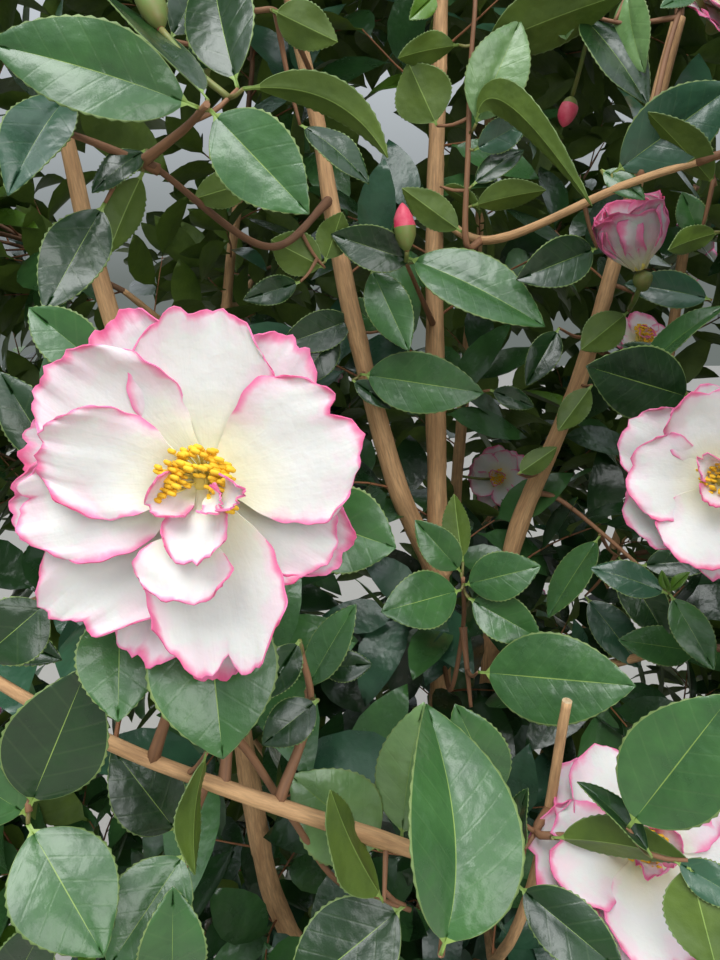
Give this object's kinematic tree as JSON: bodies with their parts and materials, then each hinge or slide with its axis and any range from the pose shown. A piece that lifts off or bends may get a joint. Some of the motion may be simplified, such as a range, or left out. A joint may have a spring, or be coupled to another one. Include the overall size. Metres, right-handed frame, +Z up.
{
  "type": "camellia shrub",
  "caption": "Evergreen camellia shrub in bloom: a short flared trunk forks low into upright stems with side boughs, leafy masses of twigs and wide open ruffled flowers.",
  "frame": {"origin": "middle of the trunk's flat cut at ground level", "axes": "+Z up along the trunk, -Y towards the side of the largest bloom, +X to the right when seen from there"},
  "size_m": [0.9682, 0.9197, 1.3184],
  "materials": {
    "bark": "matt, finely fissured",
    "leaf": "glossy evergreen leaf",
    "petal": "soft white petal with a pink edge"
  },
  "bodies": {
    "root": {"trunk": "bark", "stem_front": "bark", "stem_front_right": "bark", "stem_front_left": "bark", "stem_right": "bark", "stem_back": "bark", "stem_back_left": "bark", "arm_front": "bark", "bough_long": "bark", "bough_high_left": "bark", "bough_high_right": "bark", "stub_pruned": "bark", "bough_skirt_1": "bark", "bough_skirt_2": "bark", "bough_skirt_3": "bark", "bough_skirt_4": "bark", "bough_skirt_5": "bark", "bough_lower_1": "bark", "bough_lower_2": "bark", "bough_lower_3": "bark", "bough_lower_4": "bark", "bough_lower_5": "bark", "bough_lower_6": "bark", "bough_middle_2": "bark", "bough_middle_4": "bark", "bough_middle_5": "bark", "bough_middle_6": "bark", "bough_upper_4": "bark", "bough_upper_5": "bark", "bough_upper_6": "bark", "mass_skirt_1": "leaf", "mass_skirt_2": "leaf", "mass_skirt_3": "leaf", "mass_skirt_4": "leaf", "mass_skirt_5": "leaf", "mass_lower_1": "leaf", "mass_lower_2": "leaf", "mass_lower_3": "leaf", "mass_lower_4": "leaf", "mass_lower_5": "leaf", "mass_lower_6": "leaf", "mass_middle_1": "leaf", "mass_middle_2": "leaf", "mass_middle_3": "leaf", "mass_middle_4": "leaf", "mass_middle_5": "leaf", "mass_middle_6": "leaf", "mass_middle_7": "leaf", "mass_upper_1": "leaf", "mass_upper_2": "leaf", "mass_upper_3": "leaf", "mass_upper_4": "leaf", "mass_upper_5": "leaf", "mass_upper_6": "leaf", "mass_top_1": "leaf", "mass_top_2": "leaf", "mass_top_3": "leaf", "mass_top_4": "leaf", "mass_crest_1": "leaf"}
  },
  "joints": []
}
